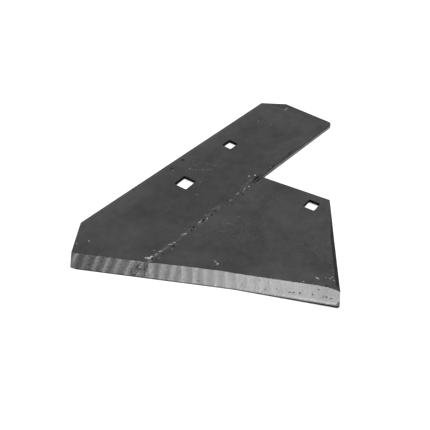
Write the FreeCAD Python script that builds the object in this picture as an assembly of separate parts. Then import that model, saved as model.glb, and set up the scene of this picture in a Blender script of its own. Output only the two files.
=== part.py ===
import FreeCAD, Part
import math
import os

from FreeCAD import Vector

# Plough share: a long rolled bar with a wing plate butt-welded along one of its long edges,
# and one cutting bevel ground by hand along the front of both. It lies flat on its underside.
# Millimetres. X runs along the bar from the tip to the far end, Y across it, Z up.
# The layout below starts at the far outer corner of the bar and is centred at the end.

# Plates
plate_thickness = 4.5
bar_width = 100.0
bar_back_length = 316.0
rolled_edge_radius = 0.9
far_clip_along = 17.6
far_clip_across = 27.5
far_corner_radius = 6.5

# Tip of the bar: angles are measured from the bar's long direction
tip_edge_angle = 39.0
tip_edge_length = 46.2
nose_edge_angle = 46.5
nose_edge_length = 17.2
nose_clip_angle = 73.0
nose_clip_length = 6.9

# Wing plate
wing_setback = 135.7
wing_rear_angle = 80.2
wing_rear_length = 84.1
wing_side_angle = 40.0
wing_toe_angle = 33.5
wing_corner_radius = 2.5
wing_rear_corner_radius = 1.5

# Rolled-over top edge along the side of the wing, with its stations as shares of the side
side_roll_width = 3.6
side_roll_depth = 1.7
side_roll_start = 0.15
side_roll_full = 0.44
side_roll_fade = 0.95
side_roll_end = 1.02

# Front edge: straight from the nose across the joint, then a run-out and a turned-in toe.
# Their setbacks are measured from where the wing's side would meet the front and the run-out.
front_angle = 60.1
runout_angle = 63.7
runout_setback = 101.9
toe_setback = 19.0

# Ground bevel
bevel_width = 17.5
end_bevel_width = 15.4
sharp_land = 0.7
blunt_land = 2.7
first_pass_edge = -5.3
pass_pitch = 11.3
pass_wander = 1.5
pass_unevenness = 0.14
bar_pass_depth = 0.28
wing_pass_depth = 0.12
end_pass_depth = 0.03
tip_pass_skew = -1.0
joint_pass_skew = 8.0
wing_pass_skew = -14.0
skew_change_length = 20.0
end_lift = 0.2
end_lift_length = 22.0

# Weld in a V groove between the two plates
weld_root_face = 1.0
weld_groove_angle = 60.0
weld_groove_overrun = 2.0
bead_half_width = 2.4
bead_height = 0.8
bead_fall = 0.5
bead_pitch = 2.9
bead_lean = 62.0
bead_unevenness = 0.18
bead_height_unevenness = 0.3
bead_sway = 0.6
crater_length = 15.0
crater_depth = 1.8

# Square bolt holes, punched from the top and a little wider below
hole_flare = 0.35
hole_corner_radius = 1.4
main_hole_size = 17.5
main_hole_from_end = 197.6
main_hole_from_edge = 39.6
main_hole_turn = 3.8
rear_hole_size = 13.5
rear_hole_from_end = 111.3
rear_hole_from_edge = 30.1
rear_hole_turn = 0.0
wing_hole_size = 13.5
wing_hole_from_corner = 13.1
wing_hole_from_rear = 16.9
wing_hole_turn = -3.5

# How fast each kind of unevenness in the hand work comes and goes, in radians a pass or ripple.
# The wander of the passes is none at the steady pass.
steady_pass = 6.65
pass_wander_rate = 0.43
pass_depth_rate = 1.7
ripple_sway_rate = 0.55
ripple_width_rate = 2.4
ripple_height_rate = 1.9
ripple_pitch_rate = 3.1

# How far a cutting tool reaches past the metal it cuts
tool_reach = 12.0


def heading(angle):
    """Unit vector at an angle from the bar's direction, turning from +X towards the wing."""
    return Vector(math.cos(math.radians(angle)), -math.sin(math.radians(angle)), 0)


def meeting(point, angle, other_point, other_angle):
    """Where a line through one point meets a line through another."""
    line = heading(angle)
    other_line = heading(other_angle)
    gap = other_point - point
    across = line.x * other_line.y - line.y * other_line.x
    return point + line * ((gap.x * other_line.y - gap.y * other_line.x) / across)


def slab(points, bottom, top):
    """Straight prism over a closed outline."""
    corners = [Vector(p.x, p.y, bottom) for p in points]
    face = Part.Face(Part.makePolygon(corners + corners[:1]))
    return face.extrude(Vector(0, 0, top - bottom))


def rounded_corner(shape, corner, radius):
    """Round the upright edge of a plate that stands at one corner of its outline."""
    edges = [e for e in shape.Edges
             if abs(e.tangentAt(e.FirstParameter).z) > 0.999
             and math.hypot(e.CenterOfMass.x - corner.x, e.CenterOfMass.y - corner.y) < 0.01]
    return shape.makeFillet(radius, edges)


# Corners of the two outlines, in the order in which they are met going round
back_corner = Vector(-bar_back_length, 0, 0)
nose_start = back_corner + heading(180 - tip_edge_angle) * tip_edge_length
nose_end = nose_start + heading(180 - nose_edge_angle) * nose_edge_length
front_start = nose_end + heading(nose_clip_angle) * nose_clip_length
joint_front = meeting(front_start, front_angle, Vector(0, -bar_width, 0), 0)
joint_rear = Vector(-wing_setback, -bar_width, 0)
wing_rear_corner = joint_rear + heading(wing_rear_angle) * wing_rear_length
far_corner = Vector(0, -bar_width, 0)

# Directions along the front edge, into the metal behind it and along the wing's side to the front
along_front = heading(front_angle)
into_metal = heading(front_angle - 90)
along_side = heading(180 - wing_side_angle)

# Run-out and toe, where the front edge comes to the wing's side
side_meets_front = meeting(front_start, front_angle, wing_rear_corner, 180 - wing_side_angle)
runout_start = side_meets_front - along_front * runout_setback
side_meets_runout = meeting(runout_start, runout_angle, wing_rear_corner, 180 - wing_side_angle)
wing_toe_start = side_meets_runout - along_side * toe_setback
wing_front_corner = meeting(runout_start, runout_angle, wing_toe_start, 180 - wing_toe_angle)


def rolled_bar():
    """Flat bar as rolled, with its four long corners rounded, longer than the share needs."""
    start = nose_end.x - tool_reach
    r = rolled_edge_radius
    stock = Part.makeBox(-start, bar_width, plate_thickness, Vector(start, -bar_width, 0))
    long_edges = [e for e in stock.Edges if abs(e.tangentAt(e.FirstParameter).x) > 0.999]
    return stock.makeFillet(r, long_edges)


def bar_outline():
    """Bar seen from above: clipped far corner, slanted tip and nose."""
    return [
        Vector(-far_clip_along, 0, 0),
        back_corner,
        nose_start,
        nose_end,
        front_start,
        joint_front,
        far_corner,
        Vector(0, -far_clip_across, 0),
    ]


def wing_outline():
    """Wing seen from above: joint, rear edge, side edge, toe and the two parts of the front."""
    return [joint_rear, wing_rear_corner, wing_toe_start, wing_front_corner, runout_start, joint_front]


def weld_groove(depth, start, end):
    """V-shaped prism between the plates, from the top face down to a depth."""
    half_width = (plate_thickness - weld_root_face) * math.tan(math.radians(weld_groove_angle / 2))
    top = plate_thickness - depth
    half_top = half_width * (top - weld_root_face) / (plate_thickness - weld_root_face)
    section = [
        Vector(start, -bar_width, weld_root_face),
        Vector(start, -bar_width + half_top, top),
        Vector(start, -bar_width - half_top, top),
    ]
    face = Part.Face(Part.makePolygon(section + section[:1]))
    return face.extrude(Vector(end - start, 0, 0))


def square_hole(size, centre, turn):
    """Punch for a square bolt hole with rounded corners, flared towards the underside."""
    def square(height):
        half = size / 2 + hole_flare * (plate_thickness - height) / plate_thickness
        corners = [Vector(x * half, y * half, height) for x, y in ((1, 1), (-1, 1), (-1, -1), (1, -1))]
        return Part.makePolygon(corners + corners[:1])

    punch = Part.makeLoft([square(-1.0), square(plate_thickness + 1.0)], True, True)
    corner_edges = [e for e in punch.Edges if abs(e.tangentAt(e.FirstParameter).z) > 0.9]
    punch = punch.makeFillet(hole_corner_radius, corner_edges)
    punch.rotate(Vector(0, 0, 0), Vector(0, 0, 1), turn)
    punch.translate(Vector(centre.x, centre.y, 0))
    return punch


def side_roll():
    """Wedges that take the top edge off the wing's side, growing from and fading to nothing."""
    side = wing_toe_start - wing_rear_corner
    inwards = heading(270 - wing_side_angle)
    slope = side_roll_depth / side_roll_width

    def section(share, width):
        inner = wing_rear_corner + side * share + inwards * width
        outer = inner - inwards * (width + tool_reach)
        corners = [
            Vector(inner.x, inner.y, plate_thickness),
            Vector(outer.x, outer.y, plate_thickness - slope * (width + tool_reach)),
            Vector(outer.x, outer.y, plate_thickness + tool_reach),
            Vector(inner.x, inner.y, plate_thickness + tool_reach),
        ]
        return Part.makePolygon(corners + corners[:1])

    stations = [
        section(side_roll_start, 0.0),
        section(side_roll_full, side_roll_width),
        section(side_roll_fade, side_roll_width),
        section(side_roll_end, 0.0),
    ]
    return [Part.makeLoft([near, far], True, True) for near, far in zip(stations, stations[1:])]


# Places along the front edge, measured from the nose in the straight part's direction
joint_place = (joint_front - front_start).dot(along_front)
runout_place = (runout_start - front_start).dot(along_front)
end_place = (wing_front_corner - front_start).dot(along_front)


def share_of_runout(place):
    """0 up to the start of the run-out, 1 at the wing's front corner."""
    return max(0.0, (place - runout_place) / (end_place - runout_place))


def ground_height(place, offset):
    """Height of the bevel at a place along the front and an offset into the metal."""
    share = share_of_runout(place)
    land = sharp_land + (blunt_land - sharp_land) * share
    outwards = (end_place - runout_place) * share * math.tan(math.radians(runout_angle - front_angle))
    width = bevel_width + (end_bevel_width - bevel_width) * share
    slope = (plate_thickness - land) / (width + outwards)
    lift = end_lift * max(0.0, (place - end_place + end_lift_length) / end_lift_length) ** 2
    return land + slope * (offset + outwards) + lift


def pass_depth(place):
    """Hollow left by one pass: deep on the bar, shallow on the wing, almost none at its end."""
    if place < joint_place:
        return bar_pass_depth
    return wing_pass_depth + (end_pass_depth - wing_pass_depth) * min(1.0, share_of_runout(place))


def pass_skew(place):
    """Sideways slant of a pass, as a slope: it turns slowly on the bar, and back after the joint."""
    if place < joint_place:
        angle = tip_pass_skew + (joint_pass_skew - tip_pass_skew) * place / joint_place
    else:
        share = min(1.0, (place - joint_place) / skew_change_length)
        angle = joint_pass_skew + (wing_pass_skew - joint_pass_skew) * share
    return math.tan(math.radians(angle))


def pass_places():
    """Where one grinding pass meets the next, from before the nose to past the wing's corner."""
    places = []
    for number in range(-2, math.ceil(end_place / pass_pitch) + 3):
        wander = pass_wander * math.sin(pass_wander_rate * (number - steady_pass))
        places.append(first_pass_edge + pass_pitch * number + wander)
    return places


def grinding_section(offset):
    """Upright section through all the passes: a row of shallow arcs under a closed block."""
    def at(place, depth=0.0):
        foot = front_start + along_front * (place + offset * pass_skew(place)) + into_metal * offset
        return Vector(foot.x, foot.y, ground_height(place, offset) - depth)

    places = pass_places()
    edges = []
    for number, (start, end) in enumerate(zip(places, places[1:])):
        middle = (start + end) / 2
        depth = pass_depth(middle) * (1 + 2 * pass_unevenness * math.sin(pass_depth_rate * number))
        edges.append(Part.Arc(at(start), at(middle, depth), at(end)).toShape())
    roof = plate_thickness + 2 * tool_reach
    first = at(places[0])
    last = at(places[-1])
    roof_first = Vector(first.x, first.y, roof)
    roof_last = Vector(last.x, last.y, roof)
    edges.append(Part.makeLine(last, roof_last))
    edges.append(Part.makeLine(roof_last, roof_first))
    edges.append(Part.makeLine(roof_first, first))
    return Part.Wire(edges)


def grinding_tool():
    """The metal that the grinder takes away in front of and above the bevel."""
    sections = [grinding_section(-tool_reach), grinding_section(bevel_width + tool_reach)]
    return Part.makeLoft(sections, True, True)


def bead_section(place, sway, half_width, height):
    """Arc of the bead over its chord on the plates, in a plane that leans with the ripples."""
    lean = height * math.tan(math.radians(bead_lean))
    near = Vector(place, -bar_width + sway - half_width, plate_thickness)
    far = Vector(place, -bar_width + sway + half_width, plate_thickness)
    crown = Vector(place + lean, -bar_width + sway, plate_thickness + height)
    return Part.Wire([Part.Arc(near, crown, far).toShape(), Part.makeLine(far, near)])


def bead_ripples(start, end):
    """Overlapping ripples of the crown: each rises in a step and falls away to the next."""
    ripples = []
    place = start
    while place < end:
        number = len(ripples)
        sway = bead_sway * math.sin(ripple_sway_rate * number)
        half_width = bead_half_width * (1 + bead_unevenness * math.sin(ripple_width_rate * number))
        height = bead_height * (1 + bead_height_unevenness * math.sin(ripple_height_rate * number + 1.0))
        pitch = bead_pitch * (1 + bead_unevenness * math.sin(ripple_pitch_rate * number))
        high = bead_section(place, sway, half_width, height)
        low = bead_section(place + pitch, sway, half_width, height * bead_fall)
        ripples.append(Part.makeLoft([high, low], True, True))
        place += pitch
    return ripples


def make_weld(bevel):
    """Weld metal: the filled groove, its rippled crown, and a low crater at the rear end."""
    front = joint_front.x - tool_reach
    crater_start = joint_rear.x - crater_length
    fill = weld_groove(0, front, crater_start)
    crater = weld_groove(crater_depth, crater_start, joint_rear.x)
    weld = fill.multiFuse([crater] + bead_ripples(joint_front.x, crater_start - bead_pitch))
    return weld.cut(bevel).removeSplitter()


def make_bar(bevel):
    """Bar: cut from the rolled flat, punched twice, prepared for the weld and ground."""
    outline = slab(bar_outline(), -1, plate_thickness + 1)
    blank = rolled_bar().common(rounded_corner(outline, far_corner, far_corner_radius))
    groove = weld_groove(0, joint_front.x - tool_reach, joint_rear.x + weld_groove_overrun)
    main_hole = square_hole(main_hole_size, Vector(-main_hole_from_end, -main_hole_from_edge, 0),
                            main_hole_turn)
    rear_hole = square_hole(rear_hole_size, Vector(-rear_hole_from_end, -rear_hole_from_edge, 0),
                            rear_hole_turn)
    return blank.cut([groove, main_hole, rear_hole, bevel])


def make_wing(bevel):
    """Wing: cut from plate, punched once, prepared for the weld, rolled over and ground."""
    blank = slab(wing_outline(), 0, plate_thickness)
    blank = rounded_corner(blank, wing_front_corner, wing_corner_radius)
    blank = rounded_corner(blank, wing_rear_corner, wing_rear_corner_radius)
    groove = weld_groove(0, joint_front.x - tool_reach, joint_rear.x + weld_groove_overrun)
    centre = (wing_rear_corner - heading(wing_rear_angle) * wing_hole_from_corner
              + heading(wing_rear_angle + 90) * wing_hole_from_rear)
    hole = square_hole(wing_hole_size, centre, 90 - wing_rear_angle + wing_hole_turn)
    return blank.cut([groove, hole, bevel] + side_roll())


def build():
    """All three pieces, centred over the origin with their underside at zero."""
    bevel = grinding_tool()
    pieces = {
        "bar_plate": make_bar(bevel),
        "wing_plate": make_wing(bevel),
        "weld_seam": make_weld(bevel),
    }
    box = Part.makeCompound(list(pieces.values())).optimalBoundingBox(False, False)
    middle = Vector(-(box.XMin + box.XMax) / 2, -(box.YMin + box.YMax) / 2, -box.ZMin)
    for piece in pieces.values():
        piece.translate(middle)
    return pieces


os.makedirs("parts", exist_ok=True)
for name, shape in build().items():
    shape.exportStep("parts/" + name + ".step")
    print(name, len(shape.Solids), "solid", shape.isValid(), round(shape.Volume), "mm3")
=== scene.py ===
import math

import bmesh
import bpy
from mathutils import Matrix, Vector


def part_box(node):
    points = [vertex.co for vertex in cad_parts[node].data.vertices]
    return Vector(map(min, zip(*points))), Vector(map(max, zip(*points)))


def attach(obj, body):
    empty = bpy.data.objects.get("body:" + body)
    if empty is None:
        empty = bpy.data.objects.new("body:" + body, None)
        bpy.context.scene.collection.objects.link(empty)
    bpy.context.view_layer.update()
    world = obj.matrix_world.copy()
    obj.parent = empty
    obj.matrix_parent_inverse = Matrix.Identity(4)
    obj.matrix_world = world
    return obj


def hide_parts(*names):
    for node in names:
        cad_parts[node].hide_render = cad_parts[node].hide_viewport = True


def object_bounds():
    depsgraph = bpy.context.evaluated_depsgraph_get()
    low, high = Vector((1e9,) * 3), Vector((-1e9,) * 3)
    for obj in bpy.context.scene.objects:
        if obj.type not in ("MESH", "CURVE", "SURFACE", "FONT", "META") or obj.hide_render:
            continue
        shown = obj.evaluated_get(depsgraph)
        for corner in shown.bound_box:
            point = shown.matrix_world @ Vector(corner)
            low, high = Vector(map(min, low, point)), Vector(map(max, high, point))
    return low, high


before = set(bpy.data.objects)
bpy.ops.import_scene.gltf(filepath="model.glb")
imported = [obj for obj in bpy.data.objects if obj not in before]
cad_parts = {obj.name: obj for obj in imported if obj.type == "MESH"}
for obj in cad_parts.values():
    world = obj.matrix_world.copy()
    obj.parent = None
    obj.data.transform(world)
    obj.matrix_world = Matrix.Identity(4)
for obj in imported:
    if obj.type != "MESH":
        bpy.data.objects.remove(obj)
solid_low, solid_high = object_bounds()


# Camera
# Stands off the tip of the bar, on the wing's side, and looks down along the share.
# The lens leaves a wide white margin round it.
camera_place = (-0.42230, -0.36236, 0.48506)
camera_turn = (48.986, 3.323, -47.174)
camera_lens = 57.93

camera_data = bpy.data.cameras.new("camera")
camera_data.lens = camera_lens
camera_data.sensor_width = 36.0
camera = bpy.data.objects.new("camera", camera_data)
camera.location = camera_place
camera.rotation_euler = [math.radians(angle) for angle in camera_turn]
bpy.context.scene.collection.objects.link(camera)
bpy.context.scene.camera = camera
bpy.context.scene.view_settings.view_transform = "Standard"


# Floor and light
# A seamless white floor under one large soft lamp overhead, a little past the bar's far end, with a
# weak one behind the bar's long edge and an even pale sky. What the camera sees of floor and sky is
# lifted to white. Each lamp has a name, a place, a size and its watts.
floor_reach = 3.0
floor_drop = 0.0002
floor_tone = 0.8
floor_lift = 0.6
sky_level = 0.45
lamps = (("overhead_lamp", (0.42, -0.05, 1.3), 1.0, 9.0),
         ("back_lamp", (-0.7, 1.2, 0.7), 0.5, 2.0))


def add_node(tree, kind, inputs=None, **settings):
    """Adds one node. An input is given a plain value, or the output socket that feeds it."""
    node = tree.nodes.new(kind)
    for name, value in settings.items():
        setattr(node, name, value)
    for name, value in (inputs or {}).items():
        if isinstance(value, bpy.types.NodeSocket):
            tree.links.new(value, node.inputs[name])
        else:
            node.inputs[name].default_value = value
    return node


def add_math(tree, operation, *values):
    """One sum on plain values or sockets, and the socket that holds its result."""
    return add_node(tree, "ShaderNodeMath", dict(enumerate(values)), operation=operation).outputs[0]


def new_material(name):
    """A node material, its tree and its Principled shader."""
    material = bpy.data.materials.new(name)
    material.use_nodes = True
    return material, material.node_tree, material.node_tree.nodes["Principled BSDF"]


floor_material, tree, shader = new_material("white_floor")
shader.inputs["Base Color"].default_value = (floor_tone, floor_tone, floor_tone, 1)
shader.inputs["Roughness"].default_value = 1.0
shader.inputs["Specular IOR Level"].default_value = 0.0
shader.inputs["Emission Color"].default_value = (1, 1, 1, 1)
rays = add_node(tree, "ShaderNodeLightPath").outputs
seen = add_math(tree, "MAXIMUM", rays["Is Camera Ray"], rays["Is Glossy Ray"])
tree.links.new(add_math(tree, "MULTIPLY", seen, floor_lift), shader.inputs["Emission Strength"])

floor_mesh = bpy.data.meshes.new("floor")
floor_mesh.from_pydata([(x * floor_reach, y * floor_reach, -floor_drop)
                        for x, y in ((-1, -1), (1, -1), (1, 1), (-1, 1))], [], [(0, 1, 2, 3)])
floor_mesh.materials.append(floor_material)
floor = bpy.data.objects.new("floor", floor_mesh)
bpy.context.scene.collection.objects.link(floor)

sky = bpy.data.worlds.new("sky")
sky.use_nodes = True
bpy.context.scene.world = sky
sky_rays = add_node(sky.node_tree, "ShaderNodeLightPath").outputs
sky_seen = add_node(sky.node_tree, "ShaderNodeMapRange",
                    {"Value": sky_rays["Is Camera Ray"], "To Min": sky_level, "To Max": 1.0})
background = sky.node_tree.nodes["Background"]
background.inputs["Color"].default_value = (1, 1, 1, 1)
sky.node_tree.links.new(sky_seen.outputs["Result"], background.inputs["Strength"])

for name, place, size, watts in lamps:
    lamp = bpy.data.lights.new(name, "AREA")
    lamp.size = size
    lamp.energy = watts
    holder = bpy.data.objects.new(name, lamp)
    holder.location = place
    holder.rotation_euler = (-Vector(place)).to_track_quat("-Z", "Y").to_euler()
    bpy.context.scene.collection.objects.link(holder)


# Bar
# A length of hot-rolled flat under a dark, thin and mottled mill scale, with rounded long edges
# and punched holes. Its slanted end is ground bare and bright from the top face to a thin land.
# The front edge of the share runs from the nose at one turn, and falls back where it runs out.
nose = (-0.17986, 0.08995, 0)
front_turn = -60.1
front_length = 0.26
runout_start = 0.16
runout_slope = 0.0631
bevel_reach = 0.019
plate_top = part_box("bar_plate")[1].z
seam_line = 0.0385


def new_group(name, inputs, outputs, kind="ShaderNodeTree"):
    """Empty node group with named inputs and outputs."""
    group = bpy.data.node_groups.new(name, kind)
    for sockets, direction in ((inputs, "INPUT"), (outputs, "OUTPUT")):
        for socket, socket_kind in sockets.items():
            group.interface.new_socket(socket, in_out=direction, socket_type="NodeSocket" + socket_kind)
    given = add_node(group, "NodeGroupInput").outputs
    result = add_node(group, "NodeGroupOutput").inputs
    return group, given, result


def place_group(tree, group, **inputs):
    """Places a shader node group in a material with its own values, and gives its outputs."""
    node = add_node(tree, "ShaderNodeGroup", node_tree=group)
    for name, value in inputs.items():
        if isinstance(value, bpy.types.NodeSocket):
            tree.links.new(value, node.inputs[name])
        else:
            node.inputs[name].default_value = value
    return node.outputs


def ramp(tree, value, low, high, to_low=0.0, to_high=1.0):
    """Smooth step of a value from one level to another."""
    return add_node(tree, "ShaderNodeMapRange", {"Value": value, "From Min": low, "From Max": high,
                                                 "To Min": to_low, "To Max": to_high},
                    interpolation_type="SMOOTHSTEP").outputs["Result"]


def noise(tree, place, size, detail=2.0, roughness=0.5):
    """Soft noise whose lumps have about the given size, in the units of the place."""
    return add_node(tree, "ShaderNodeTexNoise", {"Vector": place, "Scale": 1 / size, "Detail": detail,
                                                 "Roughness": roughness}).outputs["Fac"]


def own_place(tree, place, middle=(0, 0, 0), turn=0.0, size=(1, 1, 1)):
    """The place in a pattern's own units: from its middle, turned about Z, divided by its sizes."""
    return add_node(tree, "ShaderNodeMapping", {
        "Vector": place, "Location": middle, "Rotation": (0, 0, math.radians(turn)), "Scale": size},
        vector_type="TEXTURE").outputs["Vector"]


def mix_colour(tree, share, first, second):
    """Mix of two colours, each a grey level or a socket."""
    node = add_node(tree, "ShaderNodeMix", {"Factor": share}, data_type="RGBA")
    for socket, colour in ((node.inputs[6], first), (node.inputs[7], second)):
        if isinstance(colour, bpy.types.NodeSocket):
            tree.links.new(colour, socket)
        else:
            socket.default_value = (colour, colour, colour, 1)
    return node.outputs[2]


def mix_value(tree, share, first, second):
    """Mix of two values or sockets."""
    return add_node(tree, "ShaderNodeMix", {"Factor": share, "A": first, "B": second}).outputs["Result"]


def grey(tree, value):
    """A colour whose three channels are one value."""
    return add_node(tree, "ShaderNodeCombineColor", {0: value, 1: value, 2: value}).outputs[0]


def shaken(tree, place, size, reach):
    """The place, moved a little to and fro, so that an outline drawn on it is ragged."""
    shake = add_node(tree, "ShaderNodeTexNoise", {"Vector": place, "Scale": 1 / size, "Detail": 2.0})
    shift = add_node(tree, "ShaderNodeVectorMath", {0: shake.outputs["Color"], 1: (0.5, 0.5, 0.5)},
                     operation="SUBTRACT").outputs["Vector"]
    return add_node(tree, "ShaderNodeVectorMath", {0: shift, 1: (reach, reach, reach), 2: place},
                    operation="MULTIPLY_ADD").outputs["Vector"]


def marks_mask(tree, place, marks):
    """One mask for a list of marks: x, y, the angle it is turned by, its length and its width, in mm.
    A mark is whole in its middle and fades out a little past half its length and width."""
    fade_out = 0.625 / 1000
    mask = 0.0
    for x, y, turn, length, width in marks:
        inside = own_place(tree, place, (x / 1000, y / 1000, 0), turn,
                           (length * fade_out, width * fade_out, 1))
        near = add_node(tree, "ShaderNodeTexGradient", {"Vector": inside}, gradient_type="SPHERICAL")
        mask = add_math(tree, "MAXIMUM", mask, ramp(tree, near.outputs["Fac"], 0.0, 0.64))
    return mask


# Mill scale: the dark skin that hot rolling leaves on steel, mottled, finely grained and rubbed
# in two directions.
mill_scale, given, result = new_group(
    "mill_scale", {"Place": "Vector", "Tone": "Float", "Mottle": "Float", "Rub": "Float", "Wear": "Float"},
    {"Color": "Color", "Roughness": "Float", "Height": "Float"})
drifts = noise(mill_scale, given["Place"], 0.13, 2.0)
clouds = noise(mill_scale, given["Place"], 0.045, 3.0, 0.55)
patches = noise(mill_scale, given["Place"], 0.009, 3.0, 0.6)
grain = noise(mill_scale, given["Place"], 0.0012, 2.0, 0.6)
along_rubs = own_place(mill_scale, given["Place"], turn=24, size=(0.030, 0.0011, 1))
across_rubs = own_place(mill_scale, given["Place"], turn=-48, size=(0.016, 0.0010, 1))
rubs = ramp(mill_scale, noise(mill_scale, along_rubs, 1.0, 3.0), 0.60, 0.78)
rubs = add_math(mill_scale, "MULTIPLY", rubs, ramp(mill_scale, clouds, 0.45, 0.6))
cross_rubs = ramp(mill_scale, noise(mill_scale, across_rubs, 1.0, 3.0), 0.60, 0.8)
cross_rubs = add_math(mill_scale, "MULTIPLY", cross_rubs, ramp(mill_scale, clouds, 0.52, 0.42))
uneven = -1.35
for pattern, share in ((drifts, 0.6), (clouds, 0.7), (patches, 0.8), (grain, 0.6)):
    uneven = add_math(mill_scale, "MULTIPLY_ADD", pattern, share, uneven)
level = add_math(mill_scale, "MULTIPLY_ADD", uneven, given["Mottle"], 1.0)
rubbed = add_math(mill_scale, "MAXIMUM", rubs, cross_rubs)
level = add_math(mill_scale, "MULTIPLY_ADD", rubbed, given["Rub"], level)
level = add_math(mill_scale, "ADD", level, given["Wear"])
level = add_math(mill_scale, "MULTIPLY", level, given["Tone"])
mill_scale.links.new(grey(mill_scale, level), result["Color"])
mill_scale.links.new(ramp(mill_scale, patches, 0.3, 0.7, 0.62, 0.5), result["Roughness"])
mill_scale.links.new(add_math(mill_scale, "ADD", grain, patches), result["Height"])

# Ground steel: the bevel across all three pieces. Fine lines of the grinding disc run over it,
# and each pass gets a painted sheen, a bright and a dull stripe that stand in for the light its
# scallop catches, ever fainter along the front, while the tone rises.
# It has pits painted dark as the shade in them, a turned-up lip with a painted highlight, and a rough
# patch at the ground weld of hollows with painted shade and burrs with painted highlights; the scale
# is dark above it.
# Each list of pairs gives a place along the front, in mm from the nose, and a level. The levels of
# the bevel's top are shares of its reach. Each mark's middle is along the front and inwards from it.
# The painted sheen on the bar's passes is told by the lean of their bright and dull sides, and on
# the wing by their pitch. Between two places the disc wiped the scale off the bevel's top edge.
bevel_tones = ((0, 0.165), (20, 0.195), (32, 0.205), (42, 0.235), (52, 0.25), (62, 0.235), (78, 0.25),
               (95, 0.27), (115, 0.295), (140, 0.30), (172, 0.335), (200, 0.325), (224, 0.31),
               (236, 0.29), (245, 0.275), (253, 0.29), (260, 0.29))
bevel_tops = ((0, 0.965), (20, 0.96), (40, 0.937), (60, 0.93), (80, 0.935), (130, 0.957), (148, 0.952),
              (162, 0.908), (184, 0.868), (204, 0.838), (240, 0.778), (249, 0.735), (255, 0.645),
              (260, 0.50))
sheen_stripe_strengths = ((0, 0.29), (56, 0.29), (80, 0.23), (100, 0.18), (122, 0.11), (142, 0.07),
                    (160, 0.03), (260, 0.02))
bar_pass_lean = (0.091, -0.012)
wing_passes_from = (0.070, 0.074)
wing_first_pass = 0.081
pass_pitch = 0.0109
pass_skew = 0.12
pass_sway = 0.008
wiped_from = (0.074, 0.080)
wiped_to = (0.158, 0.148)
lip_highlight_from = (0.195, 0.235)
bevel_pit_shade_tone = 0.02
pits = ((222.9, 3.8, 70, 3.4, 1.7), (234.6, 6.2, 0, 1.4, 1.0), (235.0, 3.6, 0, 1.8, 1.2),
        (239.6, 10.4, 0, 2.0, 1.4), (245.2, 3.0, 60, 3.6, 1.2), (247.9, 2.6, 0, 2.8, 2.0),
        (252.2, 1.5, 10, 4.6, 1.3), (167.2, 5.7, 0, 1.4, 0.9), (183.2, 13.0, 108, 2.6, 0.8),
        (190.4, 3.8, 0, 2.0, 1.0), (200.8, 5.4, 108, 2.4, 1.0), (213.5, 3.2, 0, 3.2, 1.2),
        (216.9, 3.4, 0, 2.8, 1.2), (124.0, 4.2, 0, 1.4, 1.2), (126.2, 4.3, 0, 1.2, 1.0),
        (60.8, 11.2, 68, 6.5, 1.8), (64.2, 8.6, 5, 5.6, 1.6), (60.6, 2.0, 0, 4.6, 1.8),
        (259.3, -3.2, 50, 7.2, 3.2))
hollow_shades = ((69.2, 12.2, 108, 16.0, 5.6), (71.0, 4.0, 108, 6.0, 3.0), (56.6, 5.6, 107, 8.0, 2.8),
           (62.6, 11.0, 60, 9.0, 6.0), (64.4, 16.2, 0, 5.0, 3.4))
burr_highlights = ((64.0, 11.4, 60, 3.4, 2.2), (64.5, 3.6, 20, 4.0, 2.2), (75.6, 8.0, 108, 7.0, 2.0),
         (72.3, 5.4, 60, 3.0, 2.0), (72.1, 14.2, 108, 4.0, 1.2), (120.6, 17.4, 0, 3.0, 2.4),
         (58.5, 16.7, 0, 15.0, 1.2))
tip_facet_highlights = ((-6.4, 12.6, 92, 15.0, 4.2), (-4.6, 17.0, 60, 4.0, 2.4))

ground_steel, given, result = new_group(
    "ground_steel", {"Place": "Vector", "Normal": "Vector", "Grit": "Float", "Slant": "Float"},
    {"Mask": "Float", "Edge": "Float", "Above": "Float", "Color": "Color", "Roughness": "Float",
     "Height": "Float"})
at_front = own_place(ground_steel, given["Place"], nose, front_turn)
front = add_node(ground_steel, "ShaderNodeSeparateXYZ", {0: at_front}).outputs
upward = add_node(ground_steel, "ShaderNodeSeparateXYZ", {0: given["Normal"]}).outputs["Z"]
height = add_node(ground_steel, "ShaderNodeSeparateXYZ", {0: given["Place"]}).outputs["Z"]


def along_front(points):
    """A value that follows the place along the front, given as distances in mm and levels."""
    share = add_math(ground_steel, "DIVIDE", front["X"], front_length)
    node = add_node(ground_steel, "ShaderNodeFloatCurve", {"Value": share})
    curve = node.mapping.curves[0]
    curve.points[0].location = (0.0, points[0][1])
    curve.points[1].location = (1.0, points[-1][1])
    for distance, level in points[1:-1]:
        curve.points.new(distance / 1000 / front_length, level)
    node.mapping.update()
    return node.outputs["Value"]


# Where the bevel is bare: below the plate's top and its own top, both a little ragged, and facing up.
fringe = noise(ground_steel, at_front, 0.0025, 3.0, 0.6)
ragged_height = add_math(ground_steel, "SUBTRACT", height, 0.00015)
ragged_height = add_math(ground_steel, "MULTIPLY_ADD", fringe, 0.0003, ragged_height)
past_top = add_math(ground_steel, "MULTIPLY_ADD", along_front(bevel_tops), -bevel_reach, front["Y"])
ragged_top = add_math(ground_steel, "MULTIPLY_ADD", fringe, 0.0008, past_top)
wiped = add_math(ground_steel, "MULTIPLY", ramp(ground_steel, front["X"], *wiped_from),
                 ramp(ground_steel, front["X"], *wiped_to))
below = ramp(ground_steel, ragged_height, plate_top - 0.00006, plate_top - 0.00016)
mask = add_math(ground_steel, "MAXIMUM", wiped, below)
mask = add_math(ground_steel, "MULTIPLY", mask, ramp(ground_steel, ragged_top, 0.0006, 0.0001))
mask = add_math(ground_steel, "MULTIPLY", mask, ramp(ground_steel, upward, 0.92, 0.94))
ground_steel.links.new(mask, result["Mask"])
edge = ramp(ground_steel, front["Y"], bevel_reach + 0.0006, bevel_reach - 0.0006)
ground_steel.links.new(edge, result["Edge"])
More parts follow.
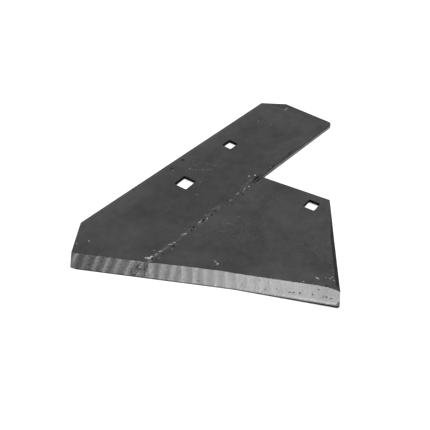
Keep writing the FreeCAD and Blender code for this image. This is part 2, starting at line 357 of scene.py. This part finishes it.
above = add_math(ground_steel, "MULTIPLY", ramp(ground_steel, past_top, 0.0024, 0.0008),
                 ramp(ground_steel, fringe, 0.3, 0.6))
ground_steel.links.new(above, result["Above"])

# Painted sheen stripes, standing in for the light each pass catches: on the bar they follow the lean of the
# scallops that are cut there, then the passes' pitch.
front_way = (math.cos(math.radians(front_turn)), math.sin(math.radians(front_turn)), 0)
lean = add_node(ground_steel, "ShaderNodeVectorMath", {0: given["Normal"], 1: front_way},
                operation="DOT_PRODUCT").outputs["Value"]
lean_sheen = add_node(ground_steel, "ShaderNodeMapRange", {
    "Value": lean, "From Min": bar_pass_lean[0], "From Max": bar_pass_lean[1], "To Min": 0.0,
    "To Max": math.pi}, clamp=False).outputs["Result"]
passes = add_math(ground_steel, "MULTIPLY_ADD", front["Y"], pass_skew, front["X"])
passes = add_math(ground_steel, "MULTIPLY_ADD", noise(ground_steel, at_front, 0.012, 2.0), pass_sway, passes)
passes = add_math(ground_steel, "SUBTRACT", passes, wing_first_pass)
passes = add_math(ground_steel, "MULTIPLY", passes, 2 * math.pi / pass_pitch)
on_wing = ramp(ground_steel, front["X"], *wing_passes_from)
# Painted sheen: a bright and a dull stripe for each grinding pass.
sheen_stripe = add_math(ground_steel, "COSINE", mix_value(ground_steel, on_wing, lean_sheen, passes))
level = add_math(ground_steel, "MULTIPLY_ADD", sheen_stripe, along_front(sheen_stripe_strengths), 1.0)

# Lines of the disc, and torn grain where the stripes are strong.
slanted = add_math(ground_steel, "MULTIPLY_ADD", front["Y"], given["Slant"], front["X"])
slanted = add_node(ground_steel, "ShaderNodeCombineXYZ", {0: slanted, 1: front["Y"]}).outputs[0]
lines = noise(ground_steel, own_place(ground_steel, slanted, size=(0.0004, 0.009, 1)), 1.0, 3.0)
streaks = noise(ground_steel, own_place(ground_steel, slanted, size=(0.0013, 0.02, 1)), 1.0, 2.0)
blotches = noise(ground_steel, slanted, 0.003, 3.0)
for pattern, share in ((lines, 0.5), (streaks, 0.5), (blotches, 0.4)):
    off_middle = add_math(ground_steel, "SUBTRACT", pattern, 0.5)
    off_middle = add_math(ground_steel, "MULTIPLY", off_middle, share)
    level = add_math(ground_steel, "MULTIPLY_ADD", off_middle, given["Grit"], level)
torn = noise(ground_steel, own_place(ground_steel, slanted, size=(0.0011, 0.0026, 1)), 1.0, 2.0, 0.6)
torn = add_math(ground_steel, "SUBTRACT", torn, 0.5)
torn = add_math(ground_steel, "MULTIPLY", torn, along_front(sheen_stripe_strengths))
level = add_math(ground_steel, "MULTIPLY_ADD", torn, 5.0, level)

# Dark thin edge, the lip with a painted highlight and the bright flecks behind it, and a faint painted rim
# highlight along the top.
runout = add_math(ground_steel, "SUBTRACT", front["X"], runout_start)
runout = add_math(ground_steel, "MAXIMUM", runout, 0.0)
inwards = add_math(ground_steel, "MULTIPLY_ADD", runout, runout_slope, front["Y"])
thin_edge = ramp(ground_steel, inwards, 0.0002, 0.0014, 0.45, 1.0)
# Painted highlight: the turned-up lip is brighter, as if it caught the light.
lip_highlight = add_math(ground_steel, "MULTIPLY", ramp(ground_steel, inwards, 0.0008, 0.0018),
               ramp(ground_steel, inwards, 0.0045, 0.0028))
lip_highlight = add_math(ground_steel, "MULTIPLY", lip_highlight, ramp(ground_steel, front["X"], *lip_highlight_from, 0.0, 0.22))
patchy = ramp(ground_steel, noise(ground_steel, at_front, 0.010, 1.0), 0.48, 0.58, 0.0, 0.08)
# Painted highlight: a faint rim of light along the bevel's top.
rim_highlight = add_math(ground_steel, "MULTIPLY", patchy,
               ramp(ground_steel, ragged_height, plate_top - 0.0006, plate_top - 0.0003))
rim_highlight = add_math(ground_steel, "MULTIPLY", rim_highlight, ramp(ground_steel, front["X"], 0.240, 0.215))
flecks = add_math(ground_steel, "MULTIPLY", ramp(ground_steel, blotches, 0.52, 0.66, 0.0, 0.35),
                  ramp(ground_steel, inwards, 0.0045, 0.0010))
flecks = add_math(ground_steel, "MULTIPLY", flecks, ramp(ground_steel, front["X"], 0.07, 0.09))
for bright in (lip_highlight, rim_highlight, flecks):
    level = add_math(ground_steel, "ADD", level, bright)
level = add_math(ground_steel, "MULTIPLY", level, thin_edge)

# Marks: hollows with painted shade and burrs with painted highlights at the ground weld, painted highlights
# on facets at the tip, and pits and specks painted dark as the shade in them.
ragged_front = shaken(ground_steel, at_front, 0.0016, 0.0022)
# Painted shade in the hollows, painted highlights on the burrs and the tip's facets.
for marks, share in ((hollow_shades, -0.27), (burr_highlights, 0.42), (tip_facet_highlights, 0.8)):
    marked = marks_mask(ground_steel, ragged_front, marks)
    level = add_math(ground_steel, "MULTIPLY_ADD", marked, share, level)
metal = grey(ground_steel, add_math(ground_steel, "MULTIPLY", level, along_front(bevel_tones)))
# Painted shade: pits and specks are painted near black as the shade in them.
specks = ramp(ground_steel, noise(ground_steel, at_front, 0.0010, 1.0), 0.70, 0.80, 0.0, 0.5)
pitted = add_math(ground_steel, "MULTIPLY", marks_mask(ground_steel, ragged_front, pits), 0.8)
pitted = add_math(ground_steel, "MAXIMUM", pitted, specks)
ground_steel.links.new(mix_colour(ground_steel, pitted, metal, bevel_pit_shade_tone), result["Color"])
ground_steel.links.new(ramp(ground_steel, lines, 0.3, 0.7, 0.5, 0.4), result["Roughness"])
ground_steel.links.new(add_math(ground_steel, "MULTIPLY_ADD", pitted, -3.0, lines), result["Height"])

# Plate steel: both plates have it. Its greys are those of a bare chip, of a dent painted dark as the shade in
# it, and of a hole's wall painted near black as the shade inside the hole.
chip_tone = 0.42
dark_tone = 0.01
hole_wall_shade_tone = 0.003
bare_metallic = 0.85
plate_shine = 0.35


def scale_wear(tree, place, ragged, pale, scuffed, scuffs, edge_wear):
    """How much paler the scale is: single scuffs, pale clouds, zones of broken rubbing, the flecked band
    that the weld's heat left on both sides of the seam, and rubbed long edges."""
    patchy = ramp(tree, noise(tree, place, 0.004, 2.0), 0.35, 0.65)
    cloudy = shaken(tree, place, 0.03, 0.03)
    wear = add_math(tree, "MULTIPLY", marks_mask(tree, ragged, scuffs),
                    add_math(tree, "MULTIPLY", patchy, 1.7))
    wear = add_math(tree, "MULTIPLY_ADD", marks_mask(tree, cloudy, pale), 0.22, wear)
    broken = noise(tree, own_place(tree, place, turn=-50, size=(0.0028, 0.0016, 1)), 1.0, 2.0, 0.6)
    broken = add_math(tree, "MULTIPLY", ramp(tree, broken, 0.45, 0.68, -0.08, 0.75), patchy)
    wear = add_math(tree, "MULTIPLY_ADD", marks_mask(tree, cloudy, scuffed), broken, wear)
    spot = add_node(tree, "ShaderNodeSeparateXYZ", {0: ragged}).outputs
    from_seam = add_math(tree, "ABSOLUTE", add_math(tree, "SUBTRACT", spot["Y"], seam_line))
    before_notch = ramp(tree, spot["X"], 0.046, 0.042)
    beside_weld = add_math(tree, "MULTIPLY", ramp(tree, from_seam, 0.0062, 0.0030), before_notch)
    heated = ramp(tree, noise(tree, place, 0.0018, 2.0, 0.7), 0.42, 0.66, -0.22, 0.6)
    wear = add_math(tree, "MULTIPLY_ADD", beside_weld, heated, wear)
    for low, high, share in edge_wear:
        wear = add_math(tree, "ADD", wear, ramp(tree, spot["Y"], low, high, 0.0, share))
    return wear


def plate_side(tree, place, upward, side_tone, at_bevel):
    """Colour of a plate's side: a paler band in its middle and at its foot, darker towards the rounded
    top edge as painted shade where it rolls over, and nearly black where the bevel's land begins."""
    rolled = noise(tree, own_place(tree, place, size=(0.012, 0.012, 0.004)), 1.0, 3.0)
    height = add_node(tree, "ShaderNodeSeparateXYZ", {0: place}).outputs["Z"]
    band = add_math(tree, "MULTIPLY", ramp(tree, height, 0.0020, 0.0027), ramp(tree, height, 0.0042, 0.0034))
    band = add_math(tree, "MAXIMUM", band, ramp(tree, height, 0.0014, 0.0007))
    band = add_math(tree, "MULTIPLY", band, ramp(tree, rolled, 0.3, 0.6, 0.4, 1.6))
    side = grey(tree, add_math(tree, "MULTIPLY", add_math(tree, "ADD", band, 0.7), side_tone))
    # Painted shade: darker where the top edge rolls over and turns away from the light.
    side = mix_colour(tree, ramp(tree, upward, 0.35, 0.6), side, side_tone * 0.3)
    return mix_colour(tree, at_bevel, side, dark_tone)


def hole_walls(tree, place, upward, holes):
    """Mask of the walls of the bolt holes, each given by its middle and its reach in mm."""
    in_hole = 0.0
    for x, y, reach in holes:
        middle = (x / 1000, y / 1000, plate_top / 2)
        column = own_place(tree, place, middle, 0, (reach / 1000, reach / 1000, 1))
        away = add_node(tree, "ShaderNodeVectorMath", {0: column}, operation="LENGTH").outputs["Value"]
        in_hole = add_math(tree, "MAXIMUM", in_hole, add_math(tree, "LESS_THAN", away, 1.0))
    return add_math(tree, "MULTIPLY", ramp(tree, upward, 0.7, 0.5), in_hole)


def plate_steel(name, scale_tone, side_tone, grit, slant, holes, edge_wear, pale, scuffed, scuffs, chips,
                dents):
    """Material of one plate: mill scale with its marks, the bare bevel, dark sides and hole walls."""
    material, tree, shader = new_material(name)
    coordinates = add_node(tree, "ShaderNodeTexCoord").outputs
    place = coordinates["Object"]
    upward = add_node(tree, "ShaderNodeSeparateXYZ", {0: coordinates["Normal"]}).outputs["Z"]
    ragged = shaken(tree, place, 0.0015, 0.0018)
    wear = scale_wear(tree, place, ragged, pale, scuffed, scuffs, edge_wear)
    scale = place_group(tree, mill_scale, Place=place, Tone=scale_tone, Mottle=1.05, Rub=0.35, Wear=wear)
    bare = place_group(tree, ground_steel, Place=place, Normal=coordinates["Normal"], Grit=grit, Slant=slant)
    chipped = add_math(tree, "MULTIPLY", marks_mask(tree, ragged, chips), 0.9)
    dented = marks_mask(tree, ragged, dents)
    side = plate_side(tree, place, upward, side_tone, bare["Edge"])
    hole_wall = hole_walls(tree, place, upward, holes)

    skin = mix_colour(tree, chipped, scale["Color"], chip_tone)
    # Painted shade: dents are painted dark as the shade in their hollows.
    skin = mix_colour(tree, add_math(tree, "MULTIPLY", dented, 0.85), skin, dark_tone)
    skin = mix_colour(tree, add_math(tree, "MULTIPLY", bare["Above"], 0.22), skin, dark_tone)
    skin = mix_colour(tree, ramp(tree, upward, 0.99, 0.93), skin, side)
    # Painted shade: the hole walls are painted near black as the shade inside the holes.
    skin = mix_colour(tree, hole_wall, skin, hole_wall_shade_tone)
    tree.links.new(mix_colour(tree, bare["Mask"], skin, bare["Color"]), shader.inputs["Base Color"])

    # Dents and hole walls turn metallic so that their dark colour also takes away the sheen, as part of the
    # painted shade.
    dull = add_math(tree, "MAXIMUM", add_math(tree, "MULTIPLY", dented, 0.8),
                    add_math(tree, "MULTIPLY", hole_wall, 0.3))
    tree.links.new(mix_value(tree, bare["Mask"], dull, bare_metallic), shader.inputs["Metallic"])
    roughness = mix_value(tree, add_math(tree, "MAXIMUM", hole_wall, dented), scale["Roughness"], 1.0)
    tree.links.new(mix_value(tree, bare["Mask"], roughness, bare["Roughness"]), shader.inputs["Roughness"])
    shader.inputs["Specular IOR Level"].default_value = plate_shine
    relief = add_math(tree, "MULTIPLY_ADD", dented, -3.0, scale["Height"])
    relief = mix_value(tree, bare["Mask"], relief, bare["Height"])
    bump = add_node(tree, "ShaderNodeBump", {"Height": relief, "Distance": 0.00004, "Strength": 1.0})
    tree.links.new(bump.outputs["Normal"], shader.inputs["Normal"])
    return material


def dress(node, material):
    """Gives a CAD node one material."""
    node.data.materials.clear()
    node.data.materials.append(material)


dress(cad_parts["bar_plate"], plate_steel(
    "bar_steel", scale_tone=0.045, side_tone=0.11, grit=1.0, slant=0.07,
    holes=((-15.73, 98.5, 14.5), (70.57, 108.0, 11.5)),
    edge_wear=((0.132, 0.1368, 0.45), (0.108, 0.137, 0.3), (0.0398, 0.0389, -0.6)),
    pale=((-124.0, 92.0, 60, 70.0, 52.0), (156.0, 92.0, 90, 96.0, 44.0), (-146.0, 70.0, -60, 84.0, 28.0),
          (110.0, 50.0, 0, 150.0, 26.0), (-105.0, 124.0, 0, 130.0, 30.0)),
    scuffed=((20.0, 100.0, -50, 60.0, 30.0), (-156.0, 84.0, -60, 40.0, 20.0)),
    scuffs=((6.7, 107.6, -62, 10.0, 2.2), (12.1, 101.1, -53, 25.0, 1.4), (17.2, 94.8, -43, 11.0, 1.8),
            (-4.7, 85.0, -51, 5.0, 1.8), (-23.2, 73.3, -51, 6.5, 1.4), (27.0, 96.0, -60, 16.0, 1.4),
            (168.0, 111.5, -79, 28.0, 1.2), (140.0, 41.0, 1, 60.0, 0.8), (62.0, 41.9, -4, 18.0, 1.4),
            (-24.0, 41.6, -8, 20.0, 2.0), (27.0, 43.0, 1, 20.0, 2.0), (33.0, 43.6, 17, 6.0, 3.0),
            (53.2, 42.4, 0, 3.0, 2.2)),
    chips=((-147.5, 108.0, 40, 2.6, 1.4), (-33.2, 137.0, 0, 1.6, 1.2), (172.5, 103.6, 3, 9.0, 1.4),
           (130.3, 114.0, 0, 1.6, 1.2), (133.6, 96.3, 0, 1.5, 1.2), (5.9, 112.6, 0, 1.6, 1.2),
           (-8.8, 125.3, -60, 2.8, 0.7), (-158.3, 115.0, 40, 3.0, 1.0)),
    dents=((-6.9, 127.8, -86, 10.0, 1.5), (13.0, 130.4, -50, 6.0, 2.6), (-61.0, 134.5, 0, 3.0, 1.6),
           (-128.6, 44.2, -29, 2.4, 1.8), (40.0, 41.3, -3, 12.0, 2.4), (100.5, 40.9, 2, 13.0, 1.3),
           (70.0, 40.9, 0, 7.0, 1.3))))


# Wing
# A flat piece cut from plate, butted against the bar, with one punched hole. Its cut side is
# rolled over, with painted shade making it dark, and the bevel goes on across it to the toe, with a thicker
# land.
dress(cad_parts["wing_plate"], plate_steel(
    # The low side tone here is painted shade on the rolled-over cut side.
    "wing_steel", scale_tone=0.0455, side_tone=0.02, grit=0.5, slant=-0.02,
    holes=((41.6, -34.74, 11.5),), edge_wear=(),
    pale=((-56.0, -84.0, -60, 110.0, 34.0), (0.0, 27.0, 0, 170.0, 34.0), (-95.0, 10.0, -60, 60.0, 24.0)),
    scuffed=((-40.0, 0.0, -50, 70.0, 44.0), (18.0, 4.0, -50, 60.0, 40.0), (-10.0, -80.0, -60, 60.0, 30.0)),
    scuffs=((-47.0, 9.0, -44, 14.0, 1.2), (-36.5, 14.0, -58, 10.0, 1.2), (-20.0, 12.0, -40, 8.0, 1.4),
            (-119.2, 35.3, -73, 8.0, 4.0), (-33.5, -119.2, -85, 5.0, 1.0), (-24.2, -107.3, 36, 2.4, 1.6),
            (-16.4, -101.0, -50, 3.4, 1.4), (-22.8, -108.4, -50, 4.0, 1.8), (-27.0, -111.5, -20, 3.0, 1.4)),
    chips=((-87.4, -17.3, 35, 3.2, 2.4), (-86.4, -13.6, 75, 4.6, 0.8), (-40.8, -103.4, -91, 4.2, 1.8),
           (-52.8, -95.9, 0, 1.8, 1.6), (-33.8, -112.9, -50, 2.2, 1.1), (-31.1, -114.0, -50, 2.0, 1.2),
           (-33.4, -116.9, 0, 1.6, 1.2), (-35.5, -109.4, 0, 1.3, 1.0)),
    dents=((30.0, -30.0, 0, 1.4, 1.4), (-111.6, 35.0, -60, 2.3, 1.3), (-97.0, 34.6, -70, 4.6, 1.8),
           (8.7, 33.9, -38, 2.6, 1.8), (-43.4, -115.6, -50, 3.0, 1.2), (-9.6, 33.1, 0, 2.0, 1.6))))


# Weld
# A hand-laid bead in the groove between the plates, as welded: a rippled, lumpy crown that was
# rubbed bright on its high spots, with a few drops of spatter fused to the plates beside it.
# Each drop is given by its middle and its width. The marks are bare worn places, faint ones, and pits painted
# near black as the shade in them.
bead_grain = 0.0003
ripple_pitch = 0.0014
ripple_height = 0.00007
ripple_bow = 160.0
lump_size = 0.0032
lump_height = 0.00035
drop_flatness = 0.6
worn_tone = 0.55
weld_pit_shade_tone = 0.005
drops = ((-125.2, 40.6, 3.4), (-125.9, 42.1, 2.8), (-122.9, 40.6, 2.6), (-127.0, 44.0, 2.0),
         (-121.4, 40.6, 2.0), (37.7, 49.6, 2.0), (43.3, 45.5, 2.2), (-87.4, -17.3, 1.6),
         (-41.6, 42.2, 0.9), (-114.3, 45.2, 1.1), (-30.9, -113.1, 1.1), (-101.0, 32.5, 0.9))
worn = ((-124.8, 41.0, -60, 5.0, 3.2), (-121.7, 40.4, 8, 4.0, 1.4), (-117.0, 39.3, -33, 5.6, 1.5),
        (-111.3, 39.3, -40, 4.4, 1.4), (-97.8, 38.5, -25, 5.4, 1.7), (-92.8, 37.6, -20, 2.4, 1.4),
        (-78.5, 38.7, -19, 7.5, 1.4), (-52.9, 39.4, 20, 6.4, 2.7), (-44.7, 36.6, 0, 1.6, 1.4),
        (6.0, 39.1, 2, 5.0, 1.6), (16.5, 38.0, 4, 2.8, 1.8), (23.4, 37.3, -14, 2.6, 1.8))
faint = ((-127.4, 37.8, -60, 6.0, 4.0), (-119.6, 38.8, -30, 7.0, 4.4), (-105.0, 38.4, 0, 9.0, 1.6),
         (-41.0, 40.6, -13, 13.0, 1.4), (-24.5, 38.4, -15, 4.4, 1.8), (-7.4, 37.6, 22, 3.6, 2.4),
         (12.2, 36.4, 12, 3.6, 1.2), (23.8, 40.4, 1, 9.0, 1.6))
sunk = ((-124.3, 37.6, -74, 3.0, 1.8), (-121.2, 42.6, -29, 4.0, 1.6), (-63.8, 38.1, 34, 4.4, 1.6),
        (-68.8, 36.9, 2, 2.4, 1.6), (-49.4, 37.7, 10, 7.5, 2.3), (-37.7, 37.2, 18, 4.2, 1.7),
        (-30.8, 37.8, 0, 2.8, 1.8), (18.4, 36.0, -2, 4.6, 1.4), (10.4, 37.2, 4, 3.4, 1.6),
        (32.4, 39.9, -12, 13.0, 2.6), (40.5, 39.2, -3, 12.0, 4.2))

weld_steel, tree, shader = new_material("weld_steel")
coordinates = add_node(tree, "ShaderNodeTexCoord").outputs
place = coordinates["Object"]
scale = place_group(tree, mill_scale, Place=place, Tone=0.054, Mottle=2.6, Rub=0.0, Wear=0.0)
bare = place_group(tree, ground_steel, Place=place, Normal=coordinates["Normal"], Grit=1.0, Slant=0.0)
height = add_node(tree, "ShaderNodeSeparateXYZ", {0: place}).outputs["Z"]
fine = noise(tree, place, 0.0011, 3.0, 0.6)
ragged = shaken(tree, place, 0.0012, 0.0016)
on_drop = add_node(tree, "ShaderNodeAttribute", attribute_name="spatter").outputs["Fac"]
rubbed = add_math(tree, "MULTIPLY", ramp(tree, height, plate_top + 0.0007, plate_top + 0.0012),
                  ramp(tree, fine, 0.5, 0.7, 0.0, 0.5))
for bright, share in ((marks_mask(tree, ragged, worn), ramp(tree, fine, 0.3, 0.5)), (on_drop, 0.95),
                      (marks_mask(tree, ragged, faint), 0.18)):
    rubbed = add_math(tree, "MAXIMUM", rubbed, add_math(tree, "MULTIPLY", bright, share))
# Painted shade: the sunk pits are painted near black, and their sheen is taken away.
in_pit = marks_mask(tree, ragged, sunk)
skin = mix_colour(tree, rubbed, scale["Color"], worn_tone)
skin = mix_colour(tree, in_pit, skin, weld_pit_shade_tone)
tree.links.new(mix_colour(tree, bare["Mask"], skin, bare["Color"]), shader.inputs["Base Color"])
dull = add_math(tree, "MAXIMUM", add_math(tree, "MULTIPLY", rubbed, 0.7),
                add_math(tree, "MULTIPLY", in_pit, 0.55))
tree.links.new(mix_value(tree, bare["Mask"], dull, bare_metallic), shader.inputs["Metallic"])
roughness = mix_value(tree, in_pit, scale["Roughness"], 1.0)
tree.links.new(mix_value(tree, bare["Mask"], roughness, bare["Roughness"]), shader.inputs["Roughness"])
bump = add_node(tree, "ShaderNodeBump", {"Height": mix_value(tree, bare["Mask"], fine, bare["Height"]),
                                         "Distance": 0.00015, "Strength": 0.6})
tree.links.new(bump.outputs["Normal"], shader.inputs["Normal"])

weld_form, given, result = new_group(
    "weld_form", {"Bead": "Geometry", "Drop Places": "Object", "Seam Line": "Float", "Plate Top": "Float",
                  "Worn Height": "Float", "Ripple Pitch": "Float", "Ripple Height": "Float",
                  "Ripple Bow": "Float", "Lump Size": "Float", "Lump Height": "Float", "Seed": "Float",
                  "Steel": "Material"},
    {"Weld": "Geometry"}, kind="GeometryNodeTree")
point = add_node(weld_form, "GeometryNodeInputPosition").outputs["Position"]
along, across, up = add_node(weld_form, "ShaderNodeSeparateXYZ", {0: point}).outputs
crown = ramp(weld_form, add_math(weld_form, "SUBTRACT", up, given["Plate Top"]), 0.00005, 0.0004)
lumps = add_node(weld_form, "ShaderNodeTexNoise", {
    "Vector": point, "W": given["Seed"], "Scale": add_math(weld_form, "DIVIDE", 1.0, given["Lump Size"]),
    "Detail": 3.0}, noise_dimensions="4D").outputs["Fac"]
from_seam = add_math(weld_form, "SUBTRACT", across, given["Seam Line"])
bow = add_math(weld_form, "MULTIPLY", from_seam, from_seam)
bow = add_math(weld_form, "MULTIPLY", bow, given["Ripple Bow"])
turns = add_math(weld_form, "DIVIDE", add_math(weld_form, "ADD", along, bow), given["Ripple Pitch"])
turns = add_math(weld_form, "MULTIPLY_ADD", lumps, 1.5, turns)
wave = add_math(weld_form, "SINE", add_math(weld_form, "MULTIPLY", turns, 2 * math.pi))
rise = add_math(weld_form, "MULTIPLY", wave, given["Ripple Height"])
rise = add_math(weld_form, "MULTIPLY_ADD", add_math(weld_form, "MULTIPLY_ADD", lumps, 2.0, -1.1),
                given["Lump Height"], rise)
rise = add_math(weld_form, "MULTIPLY", rise, crown)
outwards = add_node(weld_form, "GeometryNodeInputNormal").outputs["Normal"]
rise = add_node(weld_form, "ShaderNodeCombineXYZ", {0: rise, 1: rise, 2: rise}).outputs[0]
moved = add_node(weld_form, "ShaderNodeVectorMath", {0: outwards, 1: rise, 2: point},
                 operation="MULTIPLY_ADD").outputs["Vector"]
moved = add_node(weld_form, "ShaderNodeSeparateXYZ", {0: moved}).outputs
worn_flat = add_math(weld_form, "MINIMUM", moved["Z"], given["Worn Height"])
moved = add_node(weld_form, "ShaderNodeCombineXYZ", {0: moved["X"], 1: moved["Y"], 2: worn_flat}).outputs[0]
bead = add_node(weld_form, "GeometryNodeSetPosition", {"Geometry": given["Bead"], "Position": moved})
places = add_node(weld_form, "GeometryNodeObjectInfo", {"Object": given["Drop Places"]}).outputs["Geometry"]
width = add_node(weld_form, "GeometryNodeInputNamedAttribute", {"Name": "width"}).outputs["Attribute"]
drop = add_node(weld_form, "GeometryNodeMeshIcoSphere", {"Radius": 0.5, "Subdivisions": 3}).outputs["Mesh"]
drop = add_node(weld_form, "GeometryNodeStoreNamedAttribute", {
    "Geometry": drop, "Name": "spatter", "Value": 1.0}, data_type="FLOAT", domain="POINT").outputs["Geometry"]
drop_size = add_node(weld_form, "ShaderNodeCombineXYZ", {
    0: width, 1: width, 2: add_math(weld_form, "MULTIPLY", width, drop_flatness)}).outputs[0]
drops_laid = add_node(weld_form, "GeometryNodeInstanceOnPoints", {
    "Points": places, "Instance": drop, "Scale": drop_size}).outputs["Instances"]
joined = add_node(weld_form, "GeometryNodeJoinGeometry")
for part in (bead.outputs["Geometry"], drops_laid):
    weld_form.links.new(part, joined.inputs["Geometry"])
whole = add_node(weld_form, "GeometryNodeRealizeInstances", {"Geometry": joined.outputs["Geometry"]})
smooth = add_node(weld_form, "GeometryNodeSetShadeSmooth", {"Geometry": whole.outputs["Geometry"]})
painted = add_node(weld_form, "GeometryNodeSetMaterial", {"Geometry": smooth.outputs["Geometry"],
                                                         "Material": given["Steel"]})
weld_form.links.new(painted.outputs["Geometry"], result["Weld"])

drop_mesh = bpy.data.meshes.new("drop_places")
drop_mesh.from_pydata([(x / 1000, y / 1000, plate_top) for x, y, width in drops], [], [])
drop_width = drop_mesh.attributes.new("width", "FLOAT", "POINT")
drop_width.data.foreach_set("value", [width / 1000 for x, y, width in drops])
drop_places = bpy.data.objects.new("drop_places", drop_mesh)
bpy.context.scene.collection.objects.link(drop_places)

bead_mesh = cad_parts["weld_seam"].data.copy()
merged = bmesh.new()
merged.from_mesh(bead_mesh)
bmesh.ops.remove_doubles(merged, verts=merged.verts, dist=0.000001)
merged.to_mesh(bead_mesh)
merged.free()
weld = bpy.data.objects.new("weld_bead", bead_mesh)
bpy.context.scene.collection.objects.link(weld)
remesh = weld.modifiers.new("even_faces", "REMESH")
remesh.mode = "VOXEL"
remesh.voxel_size = bead_grain
form = weld.modifiers.new("form", "NODES")
form.node_group = weld_form
for name, value in {"Drop Places": drop_places, "Seam Line": seam_line, "Plate Top": plate_top,
                    "Worn Height": solid_high.z, "Ripple Pitch": ripple_pitch, "Ripple Height": ripple_height,
                    "Ripple Bow": ripple_bow, "Lump Size": lump_size, "Lump Height": lump_height, "Seed": 4.0,
                    "Steel": weld_steel}.items():
    form[weld_form.interface.items_tree[name].identifier] = value
evaluated = weld.evaluated_get(bpy.context.evaluated_depsgraph_get())
weld_mesh = bpy.data.meshes.new_from_object(evaluated)
weld.modifiers.clear()
weld.data = weld_mesh
bpy.data.objects.remove(drop_places)
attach(weld, "root")
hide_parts("weld_seam")
